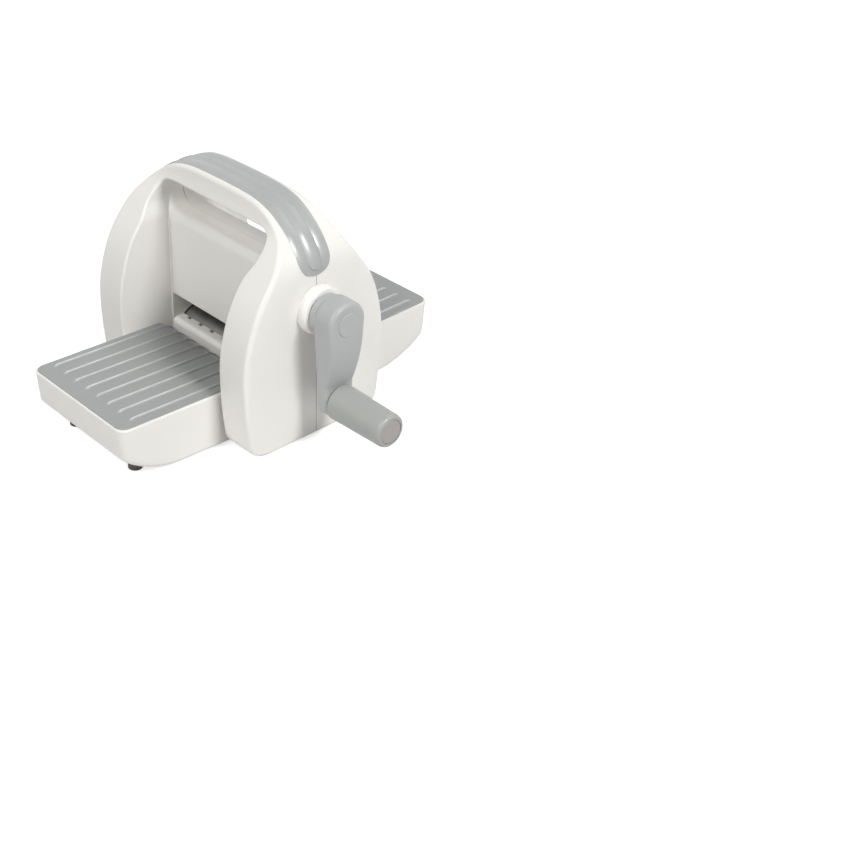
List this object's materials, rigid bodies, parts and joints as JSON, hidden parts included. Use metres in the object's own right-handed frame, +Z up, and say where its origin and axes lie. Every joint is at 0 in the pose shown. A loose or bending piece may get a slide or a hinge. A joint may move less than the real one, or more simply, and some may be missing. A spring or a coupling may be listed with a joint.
{
  "type": "hand-cranked die cutting and embossing machine",
  "caption": "Small roller press for craft cards: housing with a carrying arch, fold-up ribbed feed trays, geared rollers and a side crank with a turning knob.",
  "frame": {"origin": "middle of the housing, on the table it stands on", "axes": "+X along the feed towards the rear tray, +Y along the rollers away from the crank, +Z up"},
  "size_m": [0.2176, 0.1902, 0.1332],
  "materials": {
    "housing_white": "satin",
    "grip_grey": "matte soft-touch",
    "mat_grey": "matte, fine grain",
    "tray_white": "satin",
    "crank_grey": "satin",
    "knob_grey": "satin",
    "plug_grey": "satin",
    "roller_steel": "dark, ground",
    "black_rubber": "matte",
    "plate_steel": "zinc plated",
    "shaft_steel": "turned",
    "screw_steel": "zinc plated",
    "gear_steel": "sintered",
    "bush_bronze": "oiled"
  },
  "bodies": {
    "housing": {"front_shell": "housing_white", "rear_shell": "housing_white", "crank_collar": "housing_white", "handle_grip": "grip_grey", "base_feet": "black_rubber", "front_hinge_pins": "shaft_steel", "rear_hinge_pins": "shaft_steel", "lower_roller_bushes": "bush_bronze", "upper_roller_bushes": "bush_bronze", "crank_shaft_bush": "bush_bronze", "side_plate_crank_side": "plate_steel", "side_plate_far_side": "plate_steel", "tie_rods": "plate_steel", "tie_rod_screws": "screw_steel", "side_plate_screws": "screw_steel", "shell_screws": "screw_steel", "reduction_gear_retaining_ring": "screw_steel", "reduction_gear_axle": "shaft_steel"},
    "crank": {"crank_shaft": "shaft_steel", "crank_pinion": "gear_steel", "crank_spacer": "shaft_steel", "crank_arm": "crank_grey", "crank_screw": "screw_steel", "crank_cap": "crank_grey", "knob_spindle": "shaft_steel"},
    "knob": {"knob_sleeve": "knob_grey", "knob_plug": "plug_grey"},
    "reduction": {"reduction_gear": "gear_steel"},
    "upper_roller_set": {"upper_roller": "roller_steel", "upper_roller_end_rings": "black_rubber", "upper_roller_drive_gear": "gear_steel", "upper_coupling_gear": "gear_steel", "upper_roller_retaining_ring": "screw_steel"},
    "lower_roller_set": {"lower_roller": "roller_steel", "lower_roller_end_rings": "black_rubber", "lower_coupling_gear": "gear_steel", "lower_roller_retaining_rings": "screw_steel"},
    "front_tray_set": {"front_tray": "tray_white", "front_tray_mat": "mat_grey", "front_tray_feet": "black_rubber"},
    "rear_tray_set": {"rear_tray": "tray_white", "rear_tray_mat": "mat_grey", "rear_tray_feet": "black_rubber"}
  },
  "joints": [
    {"name": "lower_roller_spin", "type": "hinge", "parent": "housing", "child": "lower_roller_set", "pos_m": [0, 0, 0.0255], "axis": [0, 1, 0], "continuous": true},
    {"name": "upper_roller_spin", "type": "hinge", "parent": "housing", "child": "upper_roller_set", "pos_m": [0, 0, 0.0545], "axis": [0, 1, 0], "continuous": true},
    {"name": "reduction_spin", "type": "hinge", "parent": "housing", "child": "reduction", "pos_m": [0.01671, 0, 0.06549], "axis": [0, 1, 0], "continuous": true},
    {"name": "crank_turn", "type": "hinge", "parent": "housing", "child": "crank", "pos_m": [0, 0, 0.0782], "axis": [0, 1, 0], "continuous": true},
    {"name": "knob_spin", "type": "hinge", "parent": "crank", "child": "knob", "pos_m": [0, 0, 0.0303], "axis": [0, 1, 0], "continuous": true},
    {"name": "front_tray_fold", "type": "hinge", "parent": "housing", "child": "front_tray_set", "pos_m": [-0.0275, 0, 0.0245], "axis": [0, 1, 0], "range_deg": [0, 88.5]},
    {"name": "rear_tray_fold", "type": "hinge", "parent": "housing", "child": "rear_tray_set", "pos_m": [0.0275, 0, 0.0245], "axis": [0, -1, 0], "range_deg": [0, 88.5]}
  ],
  "couplings": [
    {"joint": "upper_roller_spin", "follows": "lower_roller_spin", "ratio": -1.4167},
    {"joint": "reduction_spin", "follows": "lower_roller_spin", "ratio": 2.125},
    {"joint": "crank_turn", "follows": "lower_roller_spin", "ratio": -4.25}
  ]
}
